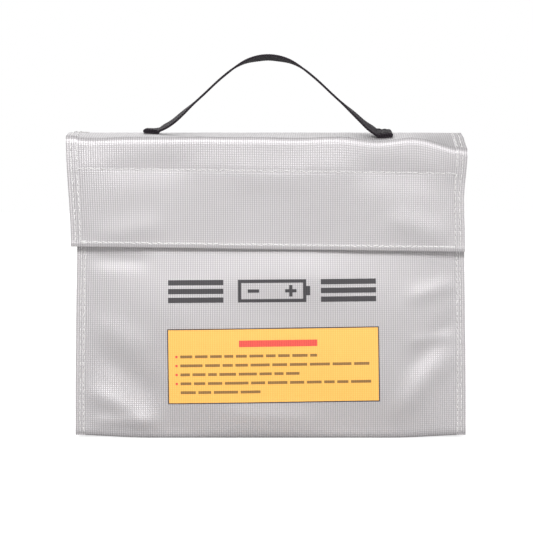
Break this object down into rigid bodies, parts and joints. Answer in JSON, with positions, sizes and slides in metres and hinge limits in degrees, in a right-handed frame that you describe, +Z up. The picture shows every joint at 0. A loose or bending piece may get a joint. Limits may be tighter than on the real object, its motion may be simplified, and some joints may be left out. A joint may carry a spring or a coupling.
{
  "type": "lipo battery safety bag",
  "caption": "Box-shaped bag of coated fire-resistant cloth for storing and charging battery packs, with a hook-and-loop flap and a webbing carrying handle.",
  "frame": {"origin": "centre of the overall bounding box, on the plane the bag stands on", "axes": "+Z up, +X to the right and -Y towards the viewer, who faces the front with the flap"},
  "size_m": [0.242, 0.0712, 0.2344],
  "materials": {
    "coated_cloth": "silver-coated woven glass-fibre cloth, satin",
    "loop_tape": "white loop pile, matte",
    "hook_tape": "white moulded hooks on woven tape, matte",
    "webbing": "black woven polypropylene webbing, matte",
    "white_thread": "off-white twisted sewing thread",
    "black_thread": "black twisted sewing thread",
    "yellow_ink": "screen-printed ink film",
    "dark_ink": "screen-printed ink film"
  },
  "bodies": {
    "bag": {"front_panel": "coated_cloth", "back_panel": "coated_cloth", "bottom_panel": "coated_cloth", "gusset_right": "coated_cloth", "gusset_left": "coated_cloth", "flap_back_lap": "coated_cloth", "loop_strip": "loop_tape", "front_label_print": "yellow_ink", "front_symbol_print": "dark_ink", "thread_flap_lap": "white_thread", "thread_loop_strip": "white_thread", "thread_front_seam_right": "white_thread", "thread_front_seam_left": "white_thread", "thread_back_seam_right": "white_thread", "thread_back_seam_left": "white_thread", "thread_base_seam_right": "white_thread", "thread_base_seam_left": "white_thread"},
    "flap_top": {"flap_top_panel": "coated_cloth", "thread_flap_top_right": "white_thread", "thread_flap_top_left": "white_thread", "handle_tab_right": "webbing", "handle_tab_left": "webbing", "thread_handle_tab_right": "black_thread", "thread_handle_tab_left": "black_thread"},
    "flap_front": {"flap_front_panel": "coated_cloth", "hook_strip": "hook_tape", "thread_hook_strip": "white_thread", "thread_flap_hem_right": "white_thread", "thread_flap_hem_left": "white_thread"},
    "handle": {"handle_strap": "webbing"}
  },
  "joints": [
    {"name": "flap_open", "type": "hinge", "parent": "bag", "child": "flap_top", "pos_m": [0, 0.0351, 0.1871], "axis": [-1, 0, 0], "range_deg": [0, 150]},
    {"name": "flap_peel", "type": "hinge", "parent": "flap_top", "child": "flap_front", "pos_m": [0, -0.0351, 0.18342], "axis": [-1, 0, 0], "range_deg": [0, 95]},
    {"name": "handle_swing", "type": "hinge", "parent": "flap_top", "child": "handle", "pos_m": [0, -0.0007, 0.1981], "axis": [-1, 0, 0], "range_deg": [-80, 75]}
  ]
}
